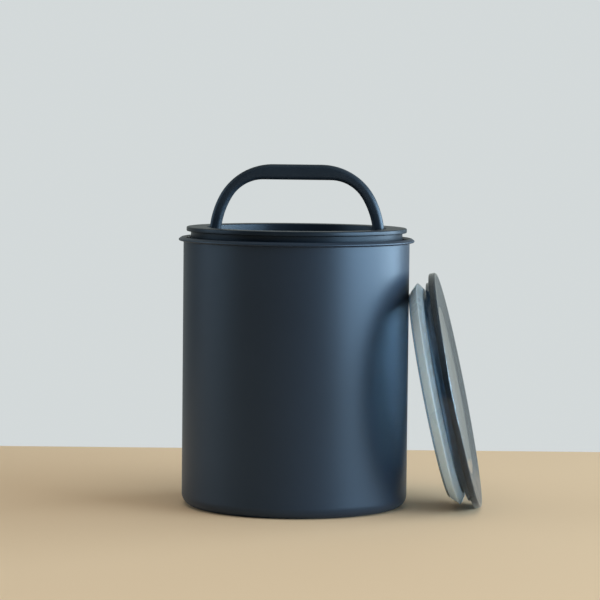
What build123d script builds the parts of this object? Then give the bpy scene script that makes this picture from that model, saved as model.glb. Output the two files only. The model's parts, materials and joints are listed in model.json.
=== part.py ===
from build123d import *
import math
import os

# Coffee canister with a sliding inner lid, a valve worked by its handle, and a loose outer lid.
# Millimetres. The origin is the centre of the canister's base, +Z runs up the canister's axis,
# and +X points at the outer lid that leans on its side.

# Fits
running_gap = 0.05          # a shaft in its journal, on the radius
fixed_gap = 0.05            # a ring or pin pushed home by hand, on the radius
sliding_gap = 0.3           # a soft lip beside the bore, or parts that only pass each other
cam_gap = 0.1               # cam above its follower
overrun = 2.0               # how far a cutting shape runs past the surface that it cuts

# Canister
canister_radius = 85.5
canister_height = 203.1
sheet = 0.8
base_corner_radius = 8.5
swage_setback = 19.5
swage_width = 12.0
swage_slope = 3.0
swage_rise = 1.6
swage_bend_radius = 2.0
bead_overhang = 4.0
bead_height = 3.5
bead_crown = 1.8
bead_crest_drop = 1.85
bead_crown_radius = 1.2
bead_crest_radius = 0.5
bead_slot = 0.3
bore_radius = canister_radius - sheet
swage_outer_radius = canister_radius - swage_setback
swage_inner_radius = swage_outer_radius - swage_width

# Inner lid shell, where it stands in the photograph
flange_stand = 7.65
flange_setback = 1.4
flange_thickness = 3.25
flange_edge_radius = 0.7
neck_setback = 4.7
neck_width = 12.2
recess_depth = 13.75
shell_wall = 2.5
skirt_depth = 34.75
seal_land_depth = 20.75
seal_land_step = 2.0
stiffener_count = 8
stiffener_width = 1.8
stiffener_depth = 6.0
deck_ring_width = 3.0
deck_ring_height = 0.6
recess_foot_radius = 1.5
flange_top = canister_height + flange_stand
flange_radius = bore_radius - flange_setback
neck_radius = bore_radius - neck_setback
recess_radius = neck_radius - neck_width

# Handle and cam shaft
pivot_drop = 7.75
arch_clearance = 1.3
arch_leg_width = 8.5
arch_bar_height = 11.6
arch_crown_drop = 11.3
arch_outer_blend_rise = 9.2
arch_inner_blend_rise = 15.6
arch_depth = 9.0
arch_edge_radius = 3.2
eye_radius = 5.0
eye_end_wall = 1.3
shaft_radius = 2.0
drive_pin_radius = 0.8
drive_pin_recess = 0.3
cam_width = 7.0
cam_low = 3.6
cam_nose_radius = 0.4
cam_shoulder = 1.0
fold_angle = 90.0
arch_radius = recess_radius - arch_clearance
arch_inner_radius = arch_radius - arch_leg_width
arch_rise = arch_radius - arch_crown_drop
foot_centre = arch_radius - arch_leg_width / 2

# Bearings of the cam shaft
bearing_setback = 8.5
bearing_length = 7.0
bearing_width = 17.0
bearing_cap_height = 3.6
bearing_corner = 1.0
screw_spacing = 11.2
screw_radius = 1.1
screw_head_radius = 2.0
screw_head_height = 1.2
screw_head_recess = 0.2
screw_length = 7.5
screw_slot_width = 0.6
screw_slot_depth = 0.6
bearing_place = arch_inner_radius - bearing_setback
deck_ring_radius = bearing_place - bearing_length / 2

# Valve
valve_lift = 2.4
well_radius = 16.0
well_wall = 2.0
well_floor_drop = 9.5
well_floor_thickness = 2.0
seat_radius = 15.2
seat_width = 1.2
seat_height = 1.2
vent_count = 6
vent_radius = 2.75
vent_circle = 10.5
stem_radius = 2.0
spigot_radius = 1.4
follower_radius = 6.0
follower_thickness = 1.6
guide_wall = 1.6
guide_height = 5.0
disc_radius = 16.4
disc_thickness = 2.0
upper_washer_radius = 8.0
upper_washer_thickness = 0.8
lower_washer_radius = 9.0
lower_washer_thickness = 1.2
clip_radius = 3.2
clip_thickness = 0.8
clip_mouth = 1.6
clip_groove_depth = 0.3
spigot_tail = 0.6
spring_wire_radius = 0.4
spring_radius = 4.6
spring_turns = 4

# Vent cap over the valve
vent_cap_radius = 20.0
vent_cap_wall = 1.6
vent_cap_top_thickness = 1.5
vent_cap_edge_radius = 1.4
vent_cap_spigot_depth = 2.4
vent_cap_foot_height = 1.6
vent_slot_count = 12
vent_slot_width = 1.6
vent_slot_length = 6.0
vent_slot_circle = 13.0

# Wiper seal and its retaining ring
seal_base_thickness = 2.4
seal_base_height = 9.0
seal_fin_root = 1.8
seal_fin_tip = 0.7
seal_fin_lift = 2.4
seal_fin_first = 1.4
seal_fin_pitch = 4.0
retaining_ring_overhang = 0.7
retaining_ring_edge = 0.8

# Outer lid, drawn along its own axis from the flat face of its rim
lid_rim_overhang = 6.5
lid_rim_height = 5.1
lid_rim_edge_radius = 1.5
lid_rim_foot_radius = 0.6
lid_step_clearance = 0.8
lid_step_height = 3.3
lid_plug_setback = 6.3
lid_plug_depth = 13.9
lid_wall = 2.2
lid_rim_land = 1.0
lid_dish_width = 23.9
lid_dish_depth = 2.3
lid_groove_width = 1.7
lid_lip_width = 1.0
lid_lip_height = 1.5
lid_lean = 12.1
lid_side_step = 5.0
gasket_squeeze = 0.6
gasket_height = 9.6
gasket_crest_rise = 5.7
gasket_shoulder = 2.2
gasket_crest_rounding = 0.6
lid_step_radius = bore_radius - lid_step_clearance
lid_radius = lid_step_radius + lid_rim_overhang
lid_plug_radius = lid_step_radius - lid_plug_setback
lid_dish_radius = lid_radius - lid_rim_edge_radius - lid_rim_land
lid_window_radius = lid_dish_radius - lid_dish_width
lid_height = lid_rim_height + lid_step_height + lid_plug_depth

# Levels worked out from the sizes above
deck_top = flange_top - recess_depth
deck_bottom = deck_top - shell_wall
flange_bottom = flange_top - flange_thickness
skirt_bottom = flange_top - skirt_depth
seal_shoulder = flange_top - seal_land_depth
seal_land_radius = neck_radius - seal_land_step
skirt_inner_radius = seal_land_radius - shell_wall
pivot_height = flange_top - pivot_drop
floor_top = deck_top - well_floor_drop
floor_bottom = floor_top - well_floor_thickness
seat_level = floor_bottom - seat_height
cam_high = cam_low + valve_lift
follower_top = pivot_height - cam_high - cam_gap
follower_bottom = follower_top - follower_thickness
disc_top = seat_level - valve_lift
upper_washer_top = disc_top + upper_washer_thickness
disc_bottom = disc_top - disc_thickness
lower_washer_bottom = disc_bottom - lower_washer_thickness
clip_bottom = lower_washer_bottom - clip_thickness
guide_bore_radius = stem_radius + running_gap
guide_radius = guide_bore_radius + guide_wall
journal_radius = shaft_radius + running_gap
vent_cap_top = pivot_height + shaft_radius + sliding_gap + vent_cap_top_thickness

# The pivot's plane looks at the arch from the front, with the pivot at its origin.
pivot_plane = Plane(origin=(0, 0, pivot_height), x_dir=(1, 0, 0), z_dir=(0, -1, 0))

# The outer lid leans with its plug's upper edge beside the canister and its rim on the ground,
# a little behind the canister's middle.
lean = math.radians(lid_lean)
lid_lip_radius = lid_plug_radius + lid_lip_width


def lid_stand_off(turn):
    """How far out the lid's centre stands when this point of the plug's edge touches the canister."""
    side = lid_side_step - lid_lip_radius * math.sin(turn)
    wall_x = math.sqrt((canister_radius + sliding_gap) ** 2 - side**2)
    return wall_x + lid_height * math.cos(lean) + lid_lip_radius * math.cos(turn) * math.sin(lean)


lid_centre_x = max(lid_stand_off(math.radians(turn)) for turn in range(90))
lid_foot_radius = lid_radius - lid_rim_foot_radius
lid_foot_drop = lid_rim_height - lid_rim_foot_radius
lid_centre_z = lid_rim_foot_radius + lid_foot_radius * math.cos(lean) + lid_foot_drop * math.sin(lean)
lid_centre = (lid_centre_x, lid_side_step, lid_centre_z)
lid_axis = Axis(lid_centre, (math.cos(lean), 0, math.sin(lean)))
lid_plane = Plane(origin=lid_centre, x_dir=(-math.sin(lean), 0, math.cos(lean)), z_dir=(0, 1, 0))

parts = []


def finish(builder, name):
    """Label a finished piece and keep it for writing."""
    builder.part.label = name
    parts.append(builder.part)


def ring(outer_radius, inner_radius, bottom, top):
    """A plain ring about the Z axis between two levels."""
    with BuildPart() as piece:
        with BuildSketch(Plane.XY.offset(bottom)):
            Circle(outer_radius)
            Circle(inner_radius, mode=Mode.SUBTRACT)
        extrude(amount=top - bottom)
    return piece


def corner_at(sketch, place):
    """The sketch's corner at this place."""
    return sketch.vertices().sort_by_distance(place)[0]


# Canister: one sheet along its middle line, from the flat base with its raised ring to the bead
with BuildPart() as canister_body:
    with BuildSketch(Plane.XZ):
        with BuildLine() as sheet_line:
            half = sheet / 2
            wall_line = canister_radius - half
            top_line = canister_height - half
            FilletPolyline(
                (0, half),
                (swage_inner_radius, half),
                (swage_inner_radius + swage_slope, swage_rise + half),
                (swage_outer_radius - swage_slope, swage_rise + half),
                (swage_outer_radius, half),
                (wall_line, half),
                (wall_line, top_line),
                (wall_line + bead_crown, top_line),
                (canister_radius + bead_overhang, top_line - bead_crest_drop),
                (canister_radius + bead_slot, canister_height - bead_height + half),
                radius=[
                    swage_bend_radius,
                    swage_bend_radius,
                    swage_bend_radius,
                    swage_bend_radius,
                    base_corner_radius - half,
                    bead_crown_radius,
                    bead_crown_radius,
                    bead_crest_radius,
                ],
            )
        trace(sheet_line.line, line_width=sheet)
    revolve(axis=Axis.Z)
finish(canister_body, "canister_body")

# Inner lid shell: flange, neck, seal land, recess, deck, valve well, seat and stem guide
with BuildPart() as plunger_shell:
    with BuildSketch(Plane.XZ) as shell_section:
        with BuildLine():
            Polyline(
                (guide_bore_radius, floor_bottom),
                (seat_radius - seat_width, floor_bottom),
                (seat_radius - seat_width, seat_level),
                (seat_radius, seat_level),
                (seat_radius, floor_bottom),
                (well_radius + well_wall, floor_bottom),
                (well_radius + well_wall, deck_bottom),
                (recess_radius + shell_wall, deck_bottom),
                (recess_radius + shell_wall, flange_bottom),
                (skirt_inner_radius, flange_bottom),
                (skirt_inner_radius, skirt_bottom),
                (seal_land_radius, skirt_bottom),
                (seal_land_radius, seal_shoulder),
                (neck_radius, seal_shoulder),
                (neck_radius, flange_bottom),
                (flange_radius, flange_bottom),
                (flange_radius, flange_top),
                (recess_radius, flange_top),
                (recess_radius, deck_top),
                (deck_ring_radius + deck_ring_width, deck_top),
                (deck_ring_radius + deck_ring_width, deck_top + deck_ring_height),
                (deck_ring_radius, deck_top + deck_ring_height),
                (deck_ring_radius, deck_top),
                (well_radius, deck_top),
                (well_radius, floor_top),
                (guide_radius, floor_top),
                (guide_radius, floor_top + guide_height),
                (guide_bore_radius, floor_top + guide_height),
                close=True,
            )
        make_face()
        fillet(shell_section.vertices().group_by(Axis.X)[-1], flange_edge_radius)
        fillet(shell_section.vertices().group_by(Axis.Y)[-1].sort_by(Axis.X)[0], flange_edge_radius)
        fillet(corner_at(shell_section, (recess_radius, deck_top)), recess_foot_radius)
    revolve(axis=Axis.Z)
    # Stiffeners under the deck, from the valve well to the skirt
    stiffener_length = skirt_inner_radius + overrun / 2 - well_radius - well_wall / 2
    stiffener_middle = well_radius + well_wall / 2 + stiffener_length / 2
    with BuildSketch(Plane.XY.offset(deck_bottom - stiffener_depth)):
        with PolarLocations(stiffener_middle, stiffener_count, 180 / stiffener_count):
            Rectangle(stiffener_length, stiffener_width)
    extrude(amount=stiffener_depth)
    # Saddles under the cam shaft
    with BuildSketch(Plane.XY.offset(deck_top)):
        with Locations((-bearing_place, 0), (bearing_place, 0)):
            RectangleRounded(bearing_length, bearing_width, bearing_corner)
    extrude(amount=pivot_height - deck_top)
    with BuildSketch(Plane.YZ.offset(-bearing_place - bearing_length)):
        with Locations((0, pivot_height)):
            Circle(journal_radius)
    extrude(amount=2 * (bearing_place + bearing_length), mode=Mode.SUBTRACT)
    # Pilot holes for the bearing cap screws, and the vents in the well's floor
    with Locations(Plane.XY.offset(pivot_height)):
        with GridLocations(2 * bearing_place, screw_spacing, 2, 2):
            Hole(screw_radius + fixed_gap, screw_length)
    with Locations(Plane.XY.offset(floor_top)):
        with PolarLocations(vent_circle, vent_count):
            Hole(vent_radius, well_floor_thickness + overrun)
finish(plunger_shell, "plunger_shell")

# Wiper seal: a flat base on the seal land with two fins that lean upwards
with BuildPart() as wiper_seal:
    seal_base_radius = seal_land_radius + seal_base_thickness
    seal_bottom = seal_shoulder - seal_base_height
    fin_tip_radius = bore_radius - sliding_gap
    with BuildSketch(Plane.XZ):
        with BuildLine():
            outline = [(seal_land_radius + fixed_gap, seal_bottom), (seal_base_radius, seal_bottom)]
            for fin in range(2):
                root = seal_bottom + seal_fin_first + fin * seal_fin_pitch
                outline += [
                    (seal_base_radius, root),
                    (fin_tip_radius, root + seal_fin_lift),
                    (fin_tip_radius, root + seal_fin_lift + seal_fin_tip),
                    (seal_base_radius, root + seal_fin_root),
                ]
            outline += [(seal_base_radius, seal_shoulder), (seal_land_radius + fixed_gap, seal_shoulder)]
            Polyline(*outline, close=True)
        make_face()
    revolve(axis=Axis.Z)
finish(wiper_seal, "wiper_seal")

# Retaining ring, pressed on below the seal
with BuildPart() as seal_retaining_ring:
    with BuildSketch(Plane.XY.offset(skirt_bottom)):
        Circle(neck_radius + retaining_ring_overhang)
        Circle(seal_land_radius + fixed_gap, mode=Mode.SUBTRACT)
    extrude(amount=seal_bottom - skirt_bottom)
    ring_edges = seal_retaining_ring.edges().filter_by(GeomType.CIRCLE).group_by(Axis.Z)[0]
    chamfer(ring_edges.sort_by(SortBy.RADIUS)[-1], retaining_ring_edge)
finish(seal_retaining_ring, "seal_retaining_ring")

# Vent cap: a low cup over the cam, notched for the shaft and slotted for air
with BuildPart() as vent_cap:
    cup_inner_radius = vent_cap_radius - vent_cap_wall
    spigot_outer_radius = well_radius - fixed_gap
    spigot_inner_radius = spigot_outer_radius - vent_cap_wall
    ceiling = vent_cap_top - vent_cap_top_thickness
    with BuildSketch(Plane.XZ) as cap_section:
        with BuildLine():
            Polyline(
                (0, ceiling),
                (0, vent_cap_top),
                (vent_cap_radius, vent_cap_top),
                (vent_cap_radius, deck_top),
                (spigot_outer_radius, deck_top),
                (spigot_outer_radius, deck_top - vent_cap_spigot_depth),
                (spigot_inner_radius, deck_top - vent_cap_spigot_depth),
                (spigot_inner_radius, deck_top + vent_cap_foot_height),
                (cup_inner_radius, deck_top + vent_cap_foot_height),
                (cup_inner_radius, ceiling),
                close=True,
            )
        make_face()
        fillet(cap_section.vertices().group_by(Axis.X)[-1].sort_by(Axis.Y)[-1], vent_cap_edge_radius)
    revolve(axis=Axis.Z)
    # Notches that let the cap drop over the shaft
    notch_radius = shaft_radius + sliding_gap
    notch_bottom = deck_top - vent_cap_spigot_depth - overrun
    with BuildSketch(Plane.YZ.offset(-vent_cap_radius - overrun)):
        with Locations((0, pivot_height)):
            Circle(notch_radius)
        with Locations((0, (pivot_height + notch_bottom) / 2)):
            Rectangle(2 * notch_radius, pivot_height - notch_bottom)
    extrude(amount=2 * (vent_cap_radius + overrun), mode=Mode.SUBTRACT)
    # Air slots through the top
    with BuildSketch(Plane.XY.offset(vent_cap_top)):
        with PolarLocations(vent_slot_circle, vent_slot_count, 180 / vent_slot_count):
            SlotOverall(vent_slot_length, vent_slot_width)
    extrude(amount=-vent_cap_top_thickness - overrun / 2, mode=Mode.SUBTRACT)
finish(vent_cap, "vent_cap")

# Bearing caps close the saddles over the shaft
for side, name in ((-1, "bearing_cap_left"), (1, "bearing_cap_right")):
    with BuildPart() as bearing_cap:
        with BuildSketch(Plane.XY.offset(pivot_height)):
            with Locations((side * bearing_place, 0)):
                RectangleRounded(bearing_length, bearing_width, bearing_corner)
        extrude(amount=bearing_cap_height)
        fillet(bearing_cap.edges().group_by(Axis.Z)[-1], bearing_corner / 2)
        with BuildSketch(Plane.YZ.offset(side * bearing_place)):
            with Locations((0, pivot_height)):
                Circle(journal_radius)
        extrude(amount=bearing_length, both=True, mode=Mode.SUBTRACT)
        with Locations(Plane.XY.offset(pivot_height + bearing_cap_height)):
            with Locations(*[(side * bearing_place, end * screw_spacing / 2) for end in (-1, 1)]):
                CounterBoreHole(
                    screw_radius + fixed_gap,
                    screw_head_radius + fixed_gap,
                    screw_head_height + screw_head_recess,
                    bearing_cap_height,
                )
    finish(bearing_cap, name)

# Four slotted screws
with BuildPart() as bearing_screws:
    head_top = pivot_height + bearing_cap_height - screw_head_recess
    head_bottom = head_top - screw_head_height
    with BuildSketch(Plane.XY.offset(head_bottom)):
        with GridLocations(2 * bearing_place, screw_spacing, 2, 2):
            Circle(screw_head_radius)
    extrude(amount=screw_head_height)
    with BuildSketch(Plane.XY.offset(head_bottom)):
        with GridLocations(2 * bearing_place, screw_spacing, 2, 2):
            Circle(screw_radius)
    extrude(amount=-screw_length)
    with BuildSketch(Plane.XY.offset(head_top)):
        with GridLocations(2 * bearing_place, screw_spacing, 2, 2):
            Rectangle(2 * screw_head_radius + overrun, screw_slot_width)
    extrude(amount=-screw_slot_depth, mode=Mode.SUBTRACT)
finish(bearing_screws, "bearing_screws")


def arch_region(radius, flat_height, blend_y):
    """The round about the pivot and a flat above it, blended by arcs centred at one height."""
    blend = flat_height - blend_y
    blend_x = math.sqrt((radius - blend) ** 2 - blend_y**2)
    turn = math.degrees(math.atan2(blend_y, blend_x))
    with BuildSketch() as region:
        with BuildLine():
            CenterArc((0, 0), radius, 0, turn)
            CenterArc((blend_x, blend_y), blend, turn, 90 - turn)
            Line((blend_x, flat_height), (-blend_x, flat_height))
            CenterArc((-blend_x, blend_y), blend, 90, 90 - turn)
            CenterArc((0, 0), radius, 180 - turn, turn)
            Line((-radius, 0), (radius, 0))
        make_face()
    return region.sketch


# Handle: a rounded arch with an eye at each foot
with BuildPart() as handle_arch:
    with BuildSketch(pivot_plane):
        add(arch_region(arch_radius, arch_rise, arch_outer_blend_rise))
        add(
            arch_region(arch_inner_radius, arch_rise - arch_bar_height, arch_inner_blend_rise),
            mode=Mode.SUBTRACT,
        )
    extrude(amount=arch_depth / 2, both=True)
    long_edges = handle_arch.faces().filter_by(Axis.Y).edges().filter_by(
        lambda edge: edge.center().Z > pivot_height + running_gap
    )
    fillet(long_edges, arch_edge_radius)
    for side in (-1, 1):
        with BuildSketch(Plane.YZ.offset(side * foot_centre)):
            with Locations((0, pivot_height)):
                Circle(eye_radius)
        extrude(amount=arch_leg_width / 2, both=True)
    # Blind bores for the shaft's ends and cross holes for the drive pins
    bore_end = arch_radius - eye_end_wall
    with BuildSketch(Plane.YZ.offset(-bore_end)):
        with Locations((0, pivot_height)):
            Circle(shaft_radius + fixed_gap)
    extrude(amount=2 * bore_end, mode=Mode.SUBTRACT)
    with BuildSketch(pivot_plane):
        with Locations((-foot_centre, 0), (foot_centre, 0)):
            Circle(drive_pin_radius + fixed_gap)
    extrude(amount=eye_radius + overrun, both=True, mode=Mode.SUBTRACT)
finish(handle_arch, "handle_arch")

# Drive pins through both eyes and the shaft
with BuildPart() as drive_pins:
    with BuildSketch(pivot_plane):
        with Locations((-foot_centre, 0), (foot_centre, 0)):
            Circle(drive_pin_radius)
    extrude(amount=eye_radius - drive_pin_recess, both=True)
finish(drive_pins, "drive_pins")


def cam_point(turn):
    """A point of the cam where its height over a flat follower falls evenly with the turn."""
    fall = valve_lift / math.radians(fold_angle)
    height = cam_high - fall * turn
    return (
        -height * math.sin(turn) + fall * math.cos(turn),
        -height * math.cos(turn) - fall * math.sin(turn),
    )


# Cam shaft: a round bar with one lobe over the valve
with BuildPart() as cam_shaft:
    shaft_end = bore_end - sliding_gap
    with BuildSketch(Plane.YZ.offset(-shaft_end)):
        with Locations((0, pivot_height)):
            Circle(shaft_radius)
    extrude(amount=2 * shaft_end)
    with BuildSketch(Plane.YZ.offset(-cam_width / 2).shift_origin((-cam_width / 2, 0, pivot_height))):
        with BuildLine():
            flank_steps = 6
            turns = [math.radians(fold_angle) * step / flank_steps for step in range(flank_steps + 1)]
            first = cam_point(turns[0])
            last = cam_point(turns[-1])
            nose_side = (first[0] + cam_nose_radius, first[1] + cam_nose_radius)
            Spline(*[cam_point(turn) for turn in turns], tangents=((-1, 0), (0, 1)))
            Polyline(last, (last[0], 0), (0, cam_shoulder), (nose_side[0], 0), nose_side)
            RadiusArc(nose_side, first, cam_nose_radius)
        make_face()
    extrude(amount=cam_width)
    with BuildSketch(pivot_plane):
        with Locations((-foot_centre, 0), (foot_centre, 0)):
            Circle(drive_pin_radius + fixed_gap)
    extrude(amount=shaft_radius + overrun, both=True, mode=Mode.SUBTRACT)
finish(cam_shaft, "cam_shaft")

# Valve stem: follower head, stem in the guide, and a spigot with a groove for the clip
with BuildPart() as valve_stem:
    spigot_bottom = clip_bottom - spigot_tail
    groove_radius = spigot_radius - clip_groove_depth
    with BuildSketch(Plane.XZ):
        with BuildLine():
            Polyline(
                (0, follower_top),
                (follower_radius, follower_top),
                (follower_radius, follower_bottom),
                (stem_radius, follower_bottom),
                (stem_radius, upper_washer_top),
                (spigot_radius, upper_washer_top),
                (spigot_radius, lower_washer_bottom),
                (groove_radius, lower_washer_bottom),
                (groove_radius, clip_bottom),
                (spigot_radius, clip_bottom),
                (spigot_radius, spigot_bottom),
                (0, spigot_bottom),
                close=True,
            )
        make_face()
    revolve(axis=Axis.Z)
finish(valve_stem, "valve_stem")

# What the stem carries: the disc between its washers, and the clip below them
spigot_bore = spigot_radius + fixed_gap
upper_washer = ring(upper_washer_radius, spigot_bore, disc_top, upper_washer_top)
finish(upper_washer, "upper_washer")
valve_disc = ring(disc_radius, spigot_bore, disc_bottom, disc_top)
finish(valve_disc, "valve_disc")
lower_washer = ring(lower_washer_radius, spigot_bore, lower_washer_bottom, disc_bottom)
finish(lower_washer, "lower_washer")

with BuildPart() as retaining_clip:
    with BuildSketch(Plane.XY.offset(clip_bottom)):
        Circle(clip_radius)
        Circle(groove_radius + fixed_gap, mode=Mode.SUBTRACT)
        with Locations((0, -clip_radius / 2)):
            Rectangle(clip_mouth, clip_radius, mode=Mode.SUBTRACT)
    extrude(amount=clip_thickness)
finish(retaining_clip, "retaining_clip")

# Valve spring between the well's floor and the follower head
with BuildPart() as valve_spring:
    spring_low = floor_top + spring_wire_radius + running_gap
    spring_high = follower_bottom - spring_wire_radius - running_gap
    spring_rise = spring_high - spring_low
    with BuildLine() as coil:
        Helix(spring_rise / spring_turns, spring_rise, spring_radius, center=(0, 0, spring_low))
    with BuildSketch(Plane(origin=coil.line @ 0, z_dir=coil.line % 0)):
        Circle(spring_wire_radius)
    sweep(path=coil.line, is_frenet=True)
finish(valve_spring, "valve_spring")

# Outer lid shell: shallow dished face, rim, step into the bore, and plug with a lip
with BuildPart() as lid_shell:
    plug_inner_radius = lid_plug_radius - lid_wall
    step_bottom = -lid_rim_height - lid_step_height
    groove_outer_radius = lid_step_radius - lid_wall
    groove_inner_radius = groove_outer_radius - lid_groove_width
    with BuildSketch(lid_plane) as lid_section:
        with BuildLine():
            Polyline(
                (0, -lid_dish_depth),
                (lid_window_radius, -lid_dish_depth),
                (lid_dish_radius, 0),
                (lid_radius, 0),
                (lid_radius, -lid_rim_height),
                (lid_step_radius, -lid_rim_height),
                (lid_step_radius, step_bottom),
                (groove_outer_radius, step_bottom),
                (groove_outer_radius, -lid_wall),
                (groove_inner_radius, -lid_wall),
                (groove_inner_radius, step_bottom),
                (lid_plug_radius, step_bottom),
                (lid_plug_radius, -lid_height + lid_lip_height),
                (lid_lip_radius, -lid_height + lid_lip_height),
                (lid_lip_radius, -lid_height),
                (plug_inner_radius, -lid_height),
                (plug_inner_radius, -lid_dish_depth - lid_wall),
                (0, -lid_dish_depth - lid_wall),
                close=True,
            )
        make_face()
        fillet(corner_at(lid_section, (lid_radius, 0)), lid_rim_edge_radius)
        fillet(corner_at(lid_section, (lid_radius, -lid_rim_height)), lid_rim_foot_radius)
    revolve(axis=lid_axis)
finish(lid_shell, "lid_shell")

# Outer lid gasket: one broad fin round the plug, held above the lip
with BuildPart() as lid_gasket:
    gasket_inner_radius = lid_plug_radius + fixed_gap
    gasket_bottom = -lid_height + lid_lip_height
    gasket_top = gasket_bottom + gasket_height
    with BuildSketch(lid_plane) as gasket_section:
        with BuildLine():
            Polyline(
                (gasket_inner_radius, gasket_top),
                (gasket_inner_radius + gasket_shoulder, gasket_top),
                (bore_radius + gasket_squeeze, gasket_bottom + gasket_crest_rise),
                (gasket_inner_radius + gasket_shoulder, gasket_bottom),
                (gasket_inner_radius, gasket_bottom),
                close=True,
            )
        make_face()
        fillet(gasket_section.vertices().group_by(Axis.X)[-1], gasket_crest_rounding)
    revolve(axis=lid_axis)
finish(lid_gasket, "lid_gasket")

os.makedirs("parts", exist_ok=True)
for piece in parts:
    export_step(piece, "parts/" + piece.label + ".step")
    print(piece.label, round(piece.volume, 1))
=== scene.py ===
"""Looks of a coffee canister with a sliding inner lid, a valve and a loose outer lid.

Every length is in metres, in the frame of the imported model: the origin is the centre of the
canister's base, Z runs up its axis and X points at the outer lid that leans on its side.
"""

import json
import logging
import math
from dataclasses import dataclass, field
from enum import Enum
from typing import Optional, Sequence

import bmesh
import bpy
from mathutils import Matrix, Vector


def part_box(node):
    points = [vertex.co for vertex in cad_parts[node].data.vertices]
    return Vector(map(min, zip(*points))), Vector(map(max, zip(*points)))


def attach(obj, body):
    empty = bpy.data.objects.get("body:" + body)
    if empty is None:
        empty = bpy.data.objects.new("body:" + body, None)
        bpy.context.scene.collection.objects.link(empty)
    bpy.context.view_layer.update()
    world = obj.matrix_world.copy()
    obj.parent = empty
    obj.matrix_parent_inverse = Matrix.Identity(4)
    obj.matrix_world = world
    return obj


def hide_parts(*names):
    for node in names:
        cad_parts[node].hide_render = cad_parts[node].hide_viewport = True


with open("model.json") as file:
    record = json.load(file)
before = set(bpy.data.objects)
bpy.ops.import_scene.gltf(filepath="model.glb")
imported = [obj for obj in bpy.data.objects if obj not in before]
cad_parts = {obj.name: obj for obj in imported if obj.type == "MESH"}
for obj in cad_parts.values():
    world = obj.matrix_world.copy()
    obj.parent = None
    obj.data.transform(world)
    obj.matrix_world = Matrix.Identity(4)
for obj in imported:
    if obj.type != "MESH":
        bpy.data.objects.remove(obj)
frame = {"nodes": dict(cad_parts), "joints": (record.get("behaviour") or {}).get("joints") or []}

log = logging.getLogger("coffee_canister")

MM = 0.001
FULL_TURN = 2 * math.pi

# Places of the colour sockets among a mix node's own
MIX_COLOUR_A, MIX_COLOUR_B, MIX_COLOUR_RESULT = 6, 7, 2

# A noise's factor keeps to this middle range, nearly everywhere
NOISE_LOW, NOISE_HIGH = 0.3, 0.7

# Angles in degrees above which an edge stays sharp
SHARP_ON_COPIES = 30.0
SHARP_ON_MOULDINGS = 32.0
SHARP_ON_ROUNDS = 40.0
SHARP_ON_GRIP = 45.0

# Angles in degrees: faces of a copy merge below the first, its edges are rounded above the second
FLAT_ENOUGH = 0.5
ROUNDED_ABOVE = 35.0

# Steps across small roundings
BLOCK_EDGE_STEPS = 3
COPY_EDGE_STEPS = 2
SMALL_ARC_STEPS = 4

# Distances below which points of a mesh are one
WELD = 0.001 * MM
COPY_WELD = 0.002 * MM

# Common corner radii
CRISP = 0.1 * MM
TRIM = 0.2 * MM
FINE = 0.3 * MM
SOFT = 0.4 * MM

Corner = tuple[float, float, float]
Point = tuple[float, float]
Colour = tuple[float, float, float]
Material = bpy.types.Material
Socket = bpy.types.NodeSocket
Shape = bmesh.types.BMesh


def fill(tree: bpy.types.NodeTree, node: bpy.types.Node, **values: object) -> None:
    """Sets or links a node's sockets.

    Args:
        tree: The tree that holds the node.
        node: The node.
        **values: A value or a source for each socket, with underscores for its spaces.
    """
    for name, value in values.items():
        socket = node.inputs[name.replace("_", " ")]
        if isinstance(value, Socket):
            tree.links.new(value, socket)
        else:
            socket.default_value = value


class Body(Enum):
    """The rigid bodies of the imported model."""

    CANISTER = "canister"
    INNER_LID = "inner_lid"
    HANDLE = "handle"
    VALVE = "valve"
    OUTER_LID = "outer_lid"


class Slot(Enum):
    """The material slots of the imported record."""

    COAT = "charcoal_coat"
    BLACK = "black_moulding"
    DARK = "dark_moulding"
    SMOKED = "smoked_plastic"
    CLEAR_SILICONE = "clear_silicone"
    GREY_SILICONE = "grey_silicone"
    STAINLESS = "stainless"


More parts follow.
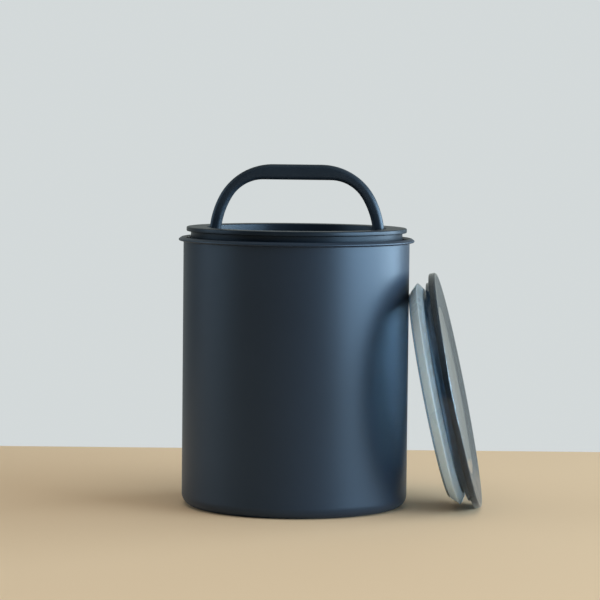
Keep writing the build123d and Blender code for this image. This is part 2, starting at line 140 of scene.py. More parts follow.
class Bench:
    """Adds and links the nodes of one material."""

    def __init__(self, name: str) -> None:
        """Starts a material with an output and a principled shader.

        Args:
            name: The material's name.
        """
        self.material = bpy.data.materials.new(name)
        self.material.use_nodes = True
        self.tree = self.material.node_tree
        self.tree.nodes.clear()
        self.output = self.add("OutputMaterial")
        self.shader = self.add("BsdfPrincipled")
        fill(self.tree, self.output, Surface=self.shader.outputs["BSDF"])
        self.coordinates = self.add("TexCoord").outputs["Object"]

    def add(self, kind: str, **values: object) -> bpy.types.Node:
        """Adds a node.

        Args:
            kind: The node's type, without the words that every type starts with.
            **values: A value or a source for some of its sockets.

        Returns:
            The node.
        """
        node = self.tree.nodes.new(f"ShaderNode{kind}")
        fill(self.tree, node, **values)
        return node

    def set(self, **values: object) -> None:
        """Sets or drives the shader's own sockets.

        Args:
            **values: A value or a source for each of them.
        """
        fill(self.tree, self.shader, **values)

    def noise(
        self, scale: float, detail: float = 2.0, stretch: Sequence[float] = (1, 1, 1)
    ) -> Socket:
        """Adds a noise in the piece's own coordinates.

        Args:
            scale: Cells to the metre.
            detail: Octaves of the noise.
            stretch: Scale along each axis.

        Returns:
            The noise's factor.
        """
        mapping = self.add("Mapping", Vector=self.coordinates, Scale=stretch)
        place = mapping.outputs["Vector"]
        return self.add("TexNoise", Vector=place, Scale=scale, Detail=detail).outputs["Fac"]

    def colour(self, factor: Socket, low: Colour, high: Colour) -> None:
        """Blends the surface's colour from two by a factor's middle range.

        Args:
            factor: The blending factor.
            low: Colour where the factor is small.
            high: Colour where the factor is large.
        """
        ramp = self.add("ValToRGB", Fac=factor)
        stops = zip(ramp.color_ramp.elements, (NOISE_LOW, NOISE_HIGH), (low, high))
        for stop, position, colour in stops:
            stop.position = position
            stop.color = (*colour, 1)
        self.set(Base_Color=ramp.outputs["Color"])

    def roughness(self, factor: Socket, middle: float, below: float, above: float) -> None:
        """Varies the surface's roughness with a factor's middle range.

        Args:
            factor: The factor.
            middle: The middle roughness.
            below: How far it goes below that, where the factor is small.
            above: How far it goes above that, where the factor is large.
        """
        span = self.add(
            "MapRange",
            Value=factor,
            From_Min=NOISE_LOW,
            From_Max=NOISE_HIGH,
            To_Min=middle - below,
            To_Max=middle + above,
        )
        self.set(Roughness=span.outputs["Result"])

    def bump(self, height: Socket, strength: float, distance: float) -> None:
        """Raises the surface by a height.

        Args:
            height: The height's factor.
            strength: Share of the bump that shows.
            distance: Height in metres.
        """
        bump = self.add("Bump", Strength=strength, Distance=distance, Height=height)
        self.set(Normal=bump.outputs["Normal"])


@dataclass(frozen=True)
class Moulding:
    """Moulded plastic with a fine spark-eroded grain over a slow change of shade."""

    name: str
    deep: Colour
    pale: Colour
    roughness: float = 0.36
    gloss: float = 0.5
    gleam: Colour = (0.74, 0.88, 1.0)
    shade_scale: float = 22.0
    shade_detail: float = 2.0
    flow_scale: float = 60.0
    grain: float = 1900.0
    grain_detail: float = 3.0
    grain_height: float = 0.03 * MM
    grain_strength: float = 0.4
    smoother: float = 0.03
    rougher: float = 0.04

    def build(self) -> Material:
        """Makes the material."""
        bench = Bench(self.name)
        bench.colour(bench.noise(self.shade_scale, self.shade_detail), self.deep, self.pale)
        flow = bench.noise(self.flow_scale)
        bench.roughness(flow, self.roughness, self.smoother, self.rougher)
        grain = bench.noise(self.grain, self.grain_detail)
        bench.bump(grain, self.grain_strength, self.grain_height)
        bench.set(Specular_IOR_Level=self.gloss, Specular_Tint=(*self.gleam, 1))
        return bench.material


@dataclass(frozen=True)
class PowderCoat(Moulding):
    """Matte powder coat, whose even grain is in its roughness too."""

    roughness: float = 0.4
    shade_scale: float = 9.0
    shade_detail: float = 3.0
    flow_scale: float = 2400.0
    grain: float = 2400.0
    grain_detail: float = 2.0
    grain_height: float = 0.04 * MM
    grain_strength: float = 0.35
    smoother: float = 0.04
    rougher: float = 0.05


@dataclass(frozen=True)
class DrawnSteel:
    """Bare steel with fine lines that run round the Z axis, as drawing or turning leaves it."""

    name: str
    colour: Colour
    roughness: float = 0.42
    lines: float = 3600.0
    lengthening: float = 0.004
    shade: float = 0.94
    line_height: float = 0.004 * MM
    line_strength: float = 0.15
    uneven: float = 0.03

    def build(self) -> Material:
        """Makes the material."""
        bench = Bench(self.name)
        streaks = bench.noise(self.lines, stretch=(self.lengthening, self.lengthening, 1))
        dark = tuple(channel * self.shade for channel in self.colour)
        bench.colour(streaks, dark, self.colour)
        bench.roughness(streaks, self.roughness, self.uneven, self.uneven)
        bench.bump(streaks, self.line_strength, self.line_height)
        bench.set(Metallic=1.0)
        return bench.material


@dataclass(frozen=True)
class SmokedPlastic:
    """Clear smoky plastic that darkens with its thickness."""

    name: str
    roughness: float
    tint: Colour
    smoke: Colour = (0.42, 0.50, 0.56)
    density: float = 520.0
    clear: float = 0.975
    refraction: float = 1.49
    wipe_scale: float = 34.0
    wipe_detail: float = 4.0
    smoother: float = 0.02
    rougher: float = 0.05
    wave_scale: float = 120.0
    wave_detail: float = 1.0
    wave_height: float = 0.02 * MM
    wave_strength: float = 0.08

    def build(self) -> Material:
        """Makes the material."""
        bench = Bench(self.name)
        bench.set(
            Base_Color=(*self.tint, 1), Transmission_Weight=self.clear, IOR=self.refraction
        )
        wipe = bench.noise(self.wipe_scale, self.wipe_detail)
        bench.roughness(wipe, self.roughness, self.smoother, self.rougher)
        wave = bench.noise(self.wave_scale, self.wave_detail)
        bench.bump(wave, self.wave_strength, self.wave_height)
        smoke = bench.add("VolumeAbsorption", Color=(*self.smoke, 1), Density=self.density)
        fill(bench.tree, bench.output, Volume=smoke.outputs["Volume"])
        return bench.material


@dataclass(frozen=True)
class Silicone:
    """Soft silicone: cloudy inside, with a thin bloom of dust."""

    name: str
    deep: Colour
    pale: Colour
    clear: float
    soft: float
    roughness: float = 0.3
    refraction: float = 1.41
    scatter: Colour = (1.0, 1.1, 1.2)
    scatter_depth: float = 3 * MM
    cloud_scale: float = 40.0
    cloud_detail: float = 3.0
    smoother: float = 0.04
    rougher: float = 0.06
    dust_scale: float = 700.0
    dust_height: float = 0.02 * MM
    dust_strength: float = 0.15

    def build(self) -> Material:
        """Makes the material."""
        bench = Bench(self.name)
        cloud = bench.noise(self.cloud_scale, self.cloud_detail)
        bench.colour(cloud, self.deep, self.pale)
        bench.roughness(cloud, self.roughness, self.smoother, self.rougher)
        bench.bump(bench.noise(self.dust_scale), self.dust_strength, self.dust_height)
        bench.set(
            Transmission_Weight=self.clear,
            IOR=self.refraction,
            Subsurface_Weight=self.soft,
            Subsurface_Radius=self.scatter,
            Subsurface_Scale=self.scatter_depth,
        )
        return bench.material


def made(recipe: object) -> Material:
    """Declares a finish that is built once, with the set of finishes.

    Args:
        recipe: The finish.

    Returns:
        The field that holds its material.
    """
    return field(default_factory=recipe.build)


@dataclass
class Finishes:
    """Every finish of the object, made once."""

    coat: Material = made(
        PowderCoat("charcoal_coat", (0.011, 0.017, 0.027), (0.015, 0.022, 0.034))
    )
    bare_steel: Material = made(DrawnSteel("bare_steel", (0.62, 0.62, 0.61)))
    turned_steel: Material = made(
        DrawnSteel("turned_steel", (0.60, 0.60, 0.59), roughness=0.24, lines=6000.0)
    )
    black: Material = made(
        Moulding("black_moulding", (0.010, 0.014, 0.019), (0.015, 0.020, 0.026), roughness=0.46)
    )
    dark: Material = made(
        Moulding(
            "dark_moulding",
            (0.007, 0.010, 0.014),
            (0.011, 0.015, 0.020),
            roughness=0.38,
            gloss=0.28,
        )
    )
    smoked: Material = made(SmokedPlastic("smoked_plastic", 0.06, (0.60, 0.76, 0.88)))
    frosted: Material = made(SmokedPlastic("frosted_plastic", 0.24, (0.66, 0.76, 0.82)))
    clear_silicone: Material = made(
        Silicone("clear_silicone", (0.78, 0.92, 1.0), (0.84, 0.96, 1.0), clear=0.06, soft=0.5)
    )
    grey_silicone: Material = made(
        Silicone(
            "grey_silicone",
            (0.14, 0.155, 0.165),
            (0.18, 0.195, 0.205),
            clear=0.0,
            soft=0.2,
            roughness=0.42,
        )
    )


def rounded(corners: Sequence[Corner], segments: int = 6, closed: bool = True) -> list[Point]:
    """Rounds the corners of an outline with arcs.

    Args:
        corners: Corners as (across, up, radius), with a radius of 0 for a sharp one.
        segments: Pieces of each arc.
        closed: Whether the last corner joins the first.

    Returns:
        The outline's points.
    """
    outline: list[Point] = []
    count = len(corners)
    for index, (across, up, radius) in enumerate(corners):
        here = Vector((across, up))
        if radius <= 0 or (not closed and index in (0, count - 1)):
            outline.append((across, up))
            continue
        before = (Vector(corners[index - 1][:2]) - here).normalized()
        after = (Vector(corners[(index + 1) % count][:2]) - here).normalized()
        half = before.angle(after) / 2
        middle = here + (before + after).normalized() * (radius / math.sin(half))
        start = here + before * (radius / math.tan(half)) - middle
        sweep = (math.pi - 2 * half) * (1 if before.cross(after) < 0 else -1)
        for step in range(segments + 1):
            spoke = start.copy()
            spoke.rotate(Matrix.Rotation(sweep * step / segments, 2))
            outline.append(tuple(middle + spoke))
    return outline


def thickened(line: Sequence[Point], thickness: float) -> list[Point]:
    """Gives a line its thickness, half to each side.

    Args:
        line: The middle line's points.
        thickness: Thickness of the sheet.

    Returns:
        The outline: along the line's right side and back along its left.
    """
    right: list[Point] = []
    left: list[Point] = []
    for index, point in enumerate(line):
        here = Vector(point)
        steps = []
        if index > 0:
            steps.append((here - Vector(line[index - 1])).normalized())
        if index < len(line) - 1:
            steps.append((Vector(line[index + 1]) - here).normalized())
        along = sum(steps, Vector((0, 0))).normalized()
        across = Vector((along.y, -along.x)) * (thickness / 2 / along.dot(steps[0]))
        right.append(tuple(here + across))
        left.append(tuple(here - across))
    return right + left[::-1]


def spun(
    outline: Sequence[Point],
    steps: int = 192,
    place: Optional[Matrix] = None,
    open_ends: bool = False,
) -> Shape:
    """Spins an outline of (radius, height) points about the Z axis.

    Args:
        outline: The section's points.
        steps: Steps of the full turn.
        place: Where the finished shape goes.
        open_ends: Whether the outline starts and ends on the axis.

    Returns:
        The closed shape.
    """
    shape = bmesh.new()
    verts = [shape.verts.new((radius, 0, height)) for radius, height in outline]
    pairs = list(zip(verts, verts[1:])) + ([] if open_ends else [(verts[-1], verts[0])])
    edges = [shape.edges.new(pair) for pair in pairs]
    bmesh.ops.spin(
        shape,
        geom=verts + edges,
        cent=(0, 0, 0),
        axis=(0, 0, 1),
        angle=FULL_TURN,
        steps=steps,
        use_merge=True,
    )
    bmesh.ops.remove_doubles(shape, verts=shape.verts, dist=WELD)
    bmesh.ops.recalc_face_normals(shape, faces=shape.faces)
    if place is not None:
        bmesh.ops.transform(shape, matrix=place, verts=shape.verts)
    return shape


def rounded_edges(
    shape: Shape,
    edges: Sequence[bmesh.types.BMEdge],
    radius: float,
    segments: int,
) -> None:
    """Rounds some of a shape's edges.

    Args:
        shape: The shape.
        edges: Its edges to round.
        radius: The rounding's width.
        segments: Steps across the rounding.
    """
    bmesh.ops.bevel(
        shape,
        geom=edges,
        offset=radius,
        segments=segments,
        affect="EDGES",
        profile=0.5,
        material=-1,
    )


def block(size: Vector, middle: Vector, turn: float, edge: float) -> Shape:
    """Makes a block with rounded edges.

    Args:
        size: Its length along each axis.
        middle: Its centre.
        turn: Turn about the Z axis through the origin, after placing.
        edge: Radius of its edges.

    Returns:
        The closed shape.
    """
    shape = bmesh.new()
    bmesh.ops.create_cube(shape, size=1)
    bmesh.ops.scale(shape, vec=size, verts=shape.verts)
    rounded_edges(shape, shape.edges[:], edge, BLOCK_EDGE_STEPS)
    bmesh.ops.translate(shape, vec=middle, verts=shape.verts)
    turned = Matrix.Rotation(turn, 3, "Z")
    bmesh.ops.rotate(shape, cent=(0, 0, 0), matrix=turned, verts=shape.verts)
    return shape


def gathered(shapes: Sequence[Shape]) -> Shape:
    """Puts several shapes into one and frees the others.

    Args:
        shapes: The shapes to gather.

    Returns:
        One shape that holds them all.
    """
    first = shapes[0]
    for other in shapes[1:]:
        mesh = bpy.data.meshes.new("gathered")
        other.to_mesh(mesh)
        other.free()
        first.from_mesh(mesh)
        bpy.data.meshes.remove(mesh)
    return first


def piece_from(
    name: str,
    shape: Shape,
    body: Body,
    materials: Sequence[Material],
    replaces: Sequence[str],
    sharp: float = SHARP_ON_MOULDINGS,
) -> bpy.types.Object:
    """Turns a shape into a dressed piece that rides on a body.

    Args:
        name: The piece's name.
        shape: Its mesh, which is freed.
        body: The body that carries it.
        materials: Its materials, in the order of the faces' indices.
        replaces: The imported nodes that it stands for.
        sharp: Angle in degrees above which an edge stays sharp.

    Returns:
        The piece.
    """
    mesh = bpy.data.meshes.new(name)
    shape.to_mesh(mesh)
    shape.free()
    mesh.shade_smooth()
    mesh.set_sharp_from_angle(angle=math.radians(sharp))
    for material in materials:
        mesh.materials.append(material)
    piece = bpy.data.objects.new(name, mesh)
    bpy.context.scene.collection.objects.link(piece)
    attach(piece, body.value)
    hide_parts(*replaces)
    log.info("%s: %d faces", name, len(mesh.polygons))
    return piece


def dressed_copy(
    node: str,
    name: str,
    body: Body,
    material: Material,
    edge: float,
) -> None:
    """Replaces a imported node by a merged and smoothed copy, with fine rounded edges.

    Args:
        node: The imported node.
        name: The new piece's name.
        body: The body that carries it.
        material: Its material.
        edge: Width of the rounding on its sharp edges, or 0 for none.
    """
    shape = bmesh.new()
    shape.from_mesh(frame["nodes"][node].data)
    bmesh.ops.remove_doubles(shape, verts=shape.verts, dist=COPY_WELD)
    bmesh.ops.dissolve_limit(
        shape,
        angle_limit=math.radians(FLAT_ENOUGH),
        verts=shape.verts,
        edges=shape.edges,
    )
    piece = piece_from(name, shape, body, [material], [node], SHARP_ON_COPIES)
    if edge:
        rounding = piece.modifiers.new("edge rounding", "BEVEL")
        rounding.width = edge
        rounding.segments = COPY_EDGE_STEPS
        rounding.limit_method = "ANGLE"
        rounding.angle_limit = math.radians(ROUNDED_ABOVE)


@dataclass
class Canister:
    """The steel vessel: coated outside, bare inside, with a bead rolled outwards."""

    finishes: Finishes
    radius: float = 85.5 * MM
    sheet: float = 0.8 * MM
    base_corner: float = 8.5 * MM
    swage_setback: float = 19.5 * MM
    swage_width: float = 12 * MM
    swage_slope: float = 3 * MM
    swage_rise: float = 1.6 * MM
    swage_bend: float = 2 * MM
    bead_overhang: float = 3.95 * MM
    bead_height: float = 3.5 * MM
    bead_crown: float = 1.8 * MM
    bead_crest_drop: float = 1.85 * MM
    bead_crown_bend: float = 1.2 * MM
    bead_crest_bend: float = 0.5 * MM
    bead_slot: float = 0.3 * MM
    coat_reach: float = 0.5 * MM
    floor_tilt: float = 0.2
    steps: int = 256
    bend_steps: int = 8

    def __post_init__(self) -> None:
        """Reads the vessel's height from the frame."""
        low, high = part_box("canister_body")
        self.base = low.z
        self.top = high.z
        self.bore = self.radius - self.sheet

    def section(self) -> list[Point]:
        """Gives the sheet's section, from the flat base with its raised ring to the rolled bead."""
        half = self.sheet / 2
        flat = self.base + half
        raised = flat + self.swage_rise
        outer = self.radius - self.swage_setback
        inner = outer - self.swage_width
        wall = self.radius - half
        crown = self.top - half
        bend = self.swage_bend
        middle = rounded(
            [
                (0, flat, 0),
                (inner, flat, bend),
                (inner + self.swage_slope, raised, bend),
                (outer - self.swage_slope, raised, bend),
                (outer, flat, bend),
                (wall, flat, self.base_corner - half),
                (wall, crown, self.bead_crown_bend),
                (wall + self.bead_crown, crown, self.bead_crown_bend),
                (
                    self.radius + self.bead_overhang,
                    crown - self.bead_crest_drop,
                    self.bead_crest_bend,
                ),
                (self.radius + self.bead_slot, self.top - self.bead_height + half, 0),
            ],
            self.bend_steps,
            closed=False,
        )
        return thickened(middle, self.sheet)

    def build(self) -> None:
        """Spins the vessel and parts its coat from the bare inside."""
        shape = spun(self.section(), self.steps, open_ends=True)
        edge_of_coat = self.bore + self.coat_reach
        for face in shape.faces:
            middle = face.calc_center_median()
            inwards = face.normal.x * middle.x + face.normal.y * middle.y < 0
            within = math.hypot(middle.x, middle.y) < edge_of_coat
            floor = face.normal.z > self.floor_tilt and middle.z < self.top / 2
            face.material_index = int(within and (inwards or floor))
        piece_from(
            "canister_vessel",
            shape,
            Body.CANISTER,
            [self.finishes.coat, self.finishes.bare_steel],
            ["canister_body"],
            SHARP_ON_ROUNDS,
        )


@dataclass
class InnerLid:
    """The plunger: shell, seal, ring, vent cap and bearing caps."""

    finishes: Finishes
    flange_thickness: float = 3.25 * MM
    recess_radius: float = 67.8 * MM
    recess_depth: float = 13.75 * MM
    wall: float = 2.5 * MM
    neck_radius: float = 80 * MM
    land_depth: float = 20.75 * MM
    land_step: float = 2 * MM
    deck_ring_radius: float = 46 * MM
    deck_ring_width: float = 3 * MM
    deck_ring_height: float = 0.6 * MM
    well_radius: float = 16 * MM
    well_wall: float = 2 * MM
    well_drop: float = 9.5 * MM
    well_floor: float = 2 * MM
    seat_radius: float = 15.2 * MM
    seat_size: float = 1.2 * MM
    guide_bore: float = 2.05 * MM
    guide_wall: float = 1.6 * MM
    guide_height: float = 5 * MM
    stiffeners: int = 8
    stiffener_width: float = 1.8 * MM
    stiffener_depth: float = 6 * MM
    saddle_size: Point = (7 * MM, 17 * MM)
    seal_base: float = 2.4 * MM
    fin_root: float = 1.8 * MM
    fin_tip: float = 0.7 * MM
    fin_lift: float = 2.4 * MM
    fin_first: float = 1.4 * MM
    fin_pitch: float = 4 * MM
    fins: int = 2
    corner: float = 0.8 * MM
    flange_foot: float = 0.5 * MM
    deck_corner: float = 1.5 * MM
    saddle_sunk: float = 0.5 * MM
    saddle_edge: float = 0.35 * MM
    ring_corner: float = 1.1 * MM
    ring_gap: float = 0.05 * MM
    vent_edge: float = 0.25 * MM
    cap_edge: float = 0.15 * MM
    screw_edge: float = 0.12 * MM
    shell_steps: int = 224
    arc_steps: int = 5

    def __post_init__(self) -> None:
        """Reads the shell's levels from the frame."""
        low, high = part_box("plunger_shell")
        self.top = high.z
        self.bottom = low.z
        self.flange_radius = high.x
        self.deck = self.top - self.recess_depth
        self.shoulder = self.top - self.land_depth
        self.land_radius = self.neck_radius - self.land_step
        self.skirt_inner = self.land_radius - self.wall

    def shell_section(self) -> list[Point]:
        """Gives the shell's section, from the stem guide round the skirt and flange and back."""
        under_flange = self.top - self.flange_thickness
        under_deck = self.deck - self.wall
        floor = self.deck - self.well_drop
        under_floor = floor - self.well_floor
        seat_inner = self.seat_radius - self.seat_size
        well_outer = self.well_radius + self.well_wall
        recess_outer = self.recess_radius + self.wall
        ring_outer = self.deck_ring_radius + self.deck_ring_width
        guide_outer = self.guide_bore + self.guide_wall
        return rounded(
            [
                (self.guide_bore, under_floor, 0),
                (seat_inner, under_floor, 0),
                (seat_inner, under_floor - self.seat_size, FINE),
                (self.seat_radius, under_floor - self.seat_size, FINE),
                (self.seat_radius, under_floor, 0),
                (well_outer, under_floor, self.corner),
                (well_outer, under_deck, self.corner),
                (recess_outer, under_deck, self.corner),
                (recess_outer, under_flange, self.corner),
                (self.skirt_inner, under_flange, self.corner),
                (self.skirt_inner, self.bottom, FINE),
                (self.land_radius, self.bottom, FINE),
                (self.land_radius, self.shoulder, 0),
                (self.neck_radius, self.shoulder, FINE),
                (self.neck_radius, under_flange, self.flange_foot),
                (self.flange_radius, under_flange, self.flange_foot),
                (self.flange_radius, self.top, self.corner),
                (self.recess_radius, self.top, self.corner),
                (self.recess_radius, self.deck, self.deck_corner),
                (ring_outer, self.deck, FINE),
                (ring_outer, self.deck + self.deck_ring_height, FINE),
                (self.deck_ring_radius, self.deck + self.deck_ring_height, FINE),
                (self.deck_ring_radius, self.deck, FINE),
                (self.well_radius, self.deck, FINE),
                (self.well_radius, floor, self.corner),
                (guide_outer, floor, FINE),
                (guide_outer, floor + self.guide_height, FINE),
                (self.guide_bore, floor + self.guide_height, 0),
            ],
            self.arc_steps,
        )

    def build_shell(self) -> None:
        """Spins the shell and adds its saddles and stiffeners."""
        shapes = [spun(self.shell_section(), self.shell_steps)]
        under_deck = self.deck - self.wall
        inner = self.well_radius + self.well_wall / 2
        length = self.skirt_inner + self.wall / 2 - inner
        size = Vector((length, self.stiffener_width, self.stiffener_depth + self.wall / 2))
        middle = Vector((inner + length / 2, 0, under_deck + self.wall / 2 - size.z / 2))
        for index in range(self.stiffeners):
            turn = FULL_TURN * (index + 0.5) / self.stiffeners
            shapes.append(block(size, middle, turn, FINE))
        low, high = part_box("bearing_cap_right")
        size = Vector((*self.saddle_size, low.z - self.deck + self.saddle_sunk))
        for side in (-1, 1):
            middle = Vector((side * (low.x + high.x) / 2, 0, low.z - size.z / 2))
            shapes.append(block(size, middle, 0, self.saddle_edge))
        piece_from(
            "plunger_moulding",
            gathered(shapes),
            Body.INNER_LID,
            [self.finishes.dark],
            ["plunger_shell"],
        )

    def build_seal(self) -> None:
        """Spins the wiper seal with its two fins and the ring below it."""
        low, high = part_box("wiper_seal")
        tip_radius = high.x
        base_radius = self.land_radius + self.seal_base
        corners: list[Corner] = [(self.land_radius, low.z, TRIM), (base_radius, low.z, SOFT)]
        for fin in range(self.fins):
            root = low.z + self.fin_first + fin * self.fin_pitch
            corners += [
                (base_radius, root, SOFT),
                (tip_radius, root + self.fin_lift, TRIM),
                (tip_radius, root + self.fin_lift + self.fin_tip, TRIM),
                (base_radius, root + self.fin_root, SOFT),
            ]
        corners += [(base_radius, high.z, SOFT), (self.land_radius, high.z, TRIM)]
        piece_from(
            "wiper_seal_rubber",
            spun(rounded(corners, SMALL_ARC_STEPS)),
            Body.INNER_LID,
            [self.finishes.grey_silicone],
            ["wiper_seal"],
        )
        low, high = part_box("seal_retaining_ring")
        inner = self.land_radius + self.ring_gap
        corners = [
            (inner, low.z, FINE),
            (high.x, low.z, self.ring_corner),
            (high.x, high.z, FINE),
            (inner, high.z, CRISP),
        ]
        piece_from(
            "retaining_ring_moulding",
            spun(rounded(corners, SMALL_ARC_STEPS)),
            Body.INNER_LID,
            [self.finishes.black],
            ["seal_retaining_ring"],
        )

    def build(self) -> None:
        """Builds the plunger's own pieces."""
        self.build_shell()
        self.build_seal()
        black, steel = self.finishes.black, self.finishes.turned_steel
        for node, name, slot, material, edge in (
            ("vent_cap", "vent_cap_moulding", Slot.BLACK, black, self.vent_edge),
            ("bearing_cap_left", "bearing_cap_left_moulding", Slot.BLACK, black, self.cap_edge),
            ("bearing_cap_right", "bearing_cap_right_moulding", Slot.BLACK, black, self.cap_edge),
            ("bearing_screws", "bearing_screw_set", Slot.STAINLESS, steel, self.screw_edge),
            ("valve_spring", "valve_spring_wire", Slot.STAINLESS, steel, 0.0),
        ):
            dressed_copy(node, name, Body.INNER_LID, material, edge)


@dataclass
class Handle:
    """The folding arch with its cam shaft and drive pins."""

    finishes: Finishes
    leg_width: float = 8.5 * MM
    bar_height: float = 11.6 * MM
    depth: float = 9 * MM
    outer_blend_rise: float = 9.2 * MM
    inner_blend_rise: float = 15.6 * MM
    edge: float = 3.2 * MM
    eye_radius: float = 5 * MM
    eye_inset: float = 0.1 * MM
    eye_edge: float = 0.7 * MM
    eye_sides: int = 64
    fine_edge: float = 0.1 * MM
    level: float = 0.1 * MM
    long_edge_angle: float = math.radians(60)
    stations: int = 36
    edge_steps: int = 7
    eye_edge_steps: int = 4

    def __post_init__(self) -> None:
        """Reads the arch's reach and the pivot's height from the frame."""
        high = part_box("handle_arch")[1]
        fold = next(joint for joint in frame["joints"] if joint["name"] == "handle_fold")
        self.pivot = fold["pos_m"][2]
        self.radius = high.x
        self.rise = high.z - self.pivot

    def outline_point(self, radius: float, flat: float, blend_up: float, turn: float) -> Vector:
        """Finds where a ray from the pivot meets one outline of the arch.

        Args:
            radius: Radius of the outline's round part about the pivot.
            flat: Height of its flat part over the pivot.
            blend_up: Height over the pivot of the centres of the arcs that blend the two.
            turn: The ray's angle from the X axis.

        Returns:
            The point, in the plane of the arch.
        """
        blend = flat - blend_up
        blend_across = math.sqrt((radius - blend) ** 2 - blend_up**2)
        ray = Vector((abs(math.cos(turn)), 0, math.sin(turn)))
        if math.atan2(ray.z, ray.x) <= math.atan2(blend_up, blend_across):
            reach = radius
        elif ray.x * flat <= blend_across * ray.z:
            reach = flat / ray.z
        else:
            along = blend_across * ray.x + blend_up * ray.z
            reach = along + math.sqrt(along**2 - blend_across**2 - blend_up**2 + blend**2)
        side = 1 if math.cos(turn) >= 0 else -1
        return Vector((side * ray.x * reach, 0, self.pivot + ray.z * reach))

    def arch(self) -> Shape:
        """Bridges the two outlines, gives them depth and rounds the long edges."""
        shape = bmesh.new()
        inner_radius, inner_rise = self.radius - self.leg_width, self.rise - self.bar_height
        rows = []
        for radius, flat, blend_up in (
            (self.radius, self.rise, self.outer_blend_rise),
            (inner_radius, inner_rise, self.inner_blend_rise),
        ):
            steps = 2 * self.stations
            turns = [math.pi * step / steps for step in range(steps + 1)]
            verts = [
                shape.verts.new(self.outline_point(radius, flat, blend_up, turn)) for turn in turns
            ]
            rows += [shape.edges.new(pair) for pair in zip(verts, verts[1:])]
        bmesh.ops.bridge_loops(shape, edges=rows)
        bmesh.ops.translate(shape, vec=(0, -self.depth / 2, 0), verts=shape.verts)
        grown = bmesh.ops.extrude_face_region(shape, geom=shape.faces[:], use_keep_orig=True)
        moved = [item for item in grown["geom"] if isinstance(item, bmesh.types.BMVert)]
        bmesh.ops.translate(shape, vec=(0, self.depth, 0), verts=moved)
        bmesh.ops.recalc_face_normals(shape, faces=shape.faces)
        long_edges = [
            edge
            for edge in shape.edges
            if abs(edge.verts[0].co.y - edge.verts[1].co.y) < self.level
            and edge.calc_face_angle(0) > self.long_edge_angle
            and max(vert.co.z for vert in edge.verts) > self.pivot + self.level
        ]
        rounded_edges(shape, long_edges, self.edge, self.edge_steps)
        return shape

    def eye(self, side: int) -> Shape:
        """Makes the round eye at one foot.

        Args:
            side: -1 for the left foot and 1 for the right.

        Returns:
            The closed shape.
        """
        shape = bmesh.new()
        bmesh.ops.create_cone(
            shape,
            cap_ends=True,
            segments=self.eye_sides,
            radius1=self.eye_radius,
            radius2=self.eye_radius,
            depth=self.leg_width - self.eye_inset,
        )
        rims = [
            edge
            for edge in shape.edges
            if abs(edge.verts[0].co.z - edge.verts[1].co.z) < self.level
        ]
        rounded_edges(shape, rims, self.eye_edge, self.eye_edge_steps)
        place = Matrix.Translation((side * (self.radius - self.leg_width / 2), 0, self.pivot))
        lying = Matrix.Rotation(math.pi / 2, 4, "Y")
        bmesh.ops.transform(shape, matrix=place @ lying, verts=shape.verts)
        return shape

    def build(self) -> None:
        """Builds the arch and dresses what turns with it."""
        shapes = [self.arch(), self.eye(-1), self.eye(1)]
        piece_from(
            "handle_grip",
            gathered(shapes),
            Body.HANDLE,
            [self.finishes.black],
            ["handle_arch"],
            SHARP_ON_GRIP,
        )
        steel = self.finishes.turned_steel
        for node, name in (("cam_shaft", "cam_shaft_bar"), ("drive_pins", "drive_pin_pair")):
            dressed_copy(node, name, Body.HANDLE, steel, self.fine_edge)


@dataclass
class Valve:
    """The stem and what it carries."""

    finishes: Finishes
    fine_edge: float = 0.1 * MM
    disc_bore: float = 1.45 * MM
    disc_edge: float = 0.5 * MM
    disc_steps: int = 96

    def build(self) -> None:
        """Dresses the stem, its washers, disc and clip."""
        steel = self.finishes.turned_steel
        for node, name in (
            ("valve_stem", "valve_stem_pin"),
            ("upper_washer", "upper_washer_plate"),
            ("lower_washer", "lower_washer_plate"),
            ("retaining_clip", "retaining_clip_plate"),
        ):
            dressed_copy(node, name, Body.VALVE, steel, self.fine_edge)
        low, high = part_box("valve_disc")
        corners = [
            (self.disc_bore, low.z, 0),
            (high.x, low.z, self.disc_edge),
            (high.x, high.z, self.disc_edge),
            (self.disc_bore, high.z, 0),
        ]
        piece_from(
            "valve_disc_rubber",
            spun(rounded(corners, SMALL_ARC_STEPS), self.disc_steps),
            Body.VALVE,
            [self.finishes.grey_silicone],
            ["valve_disc"],
        )


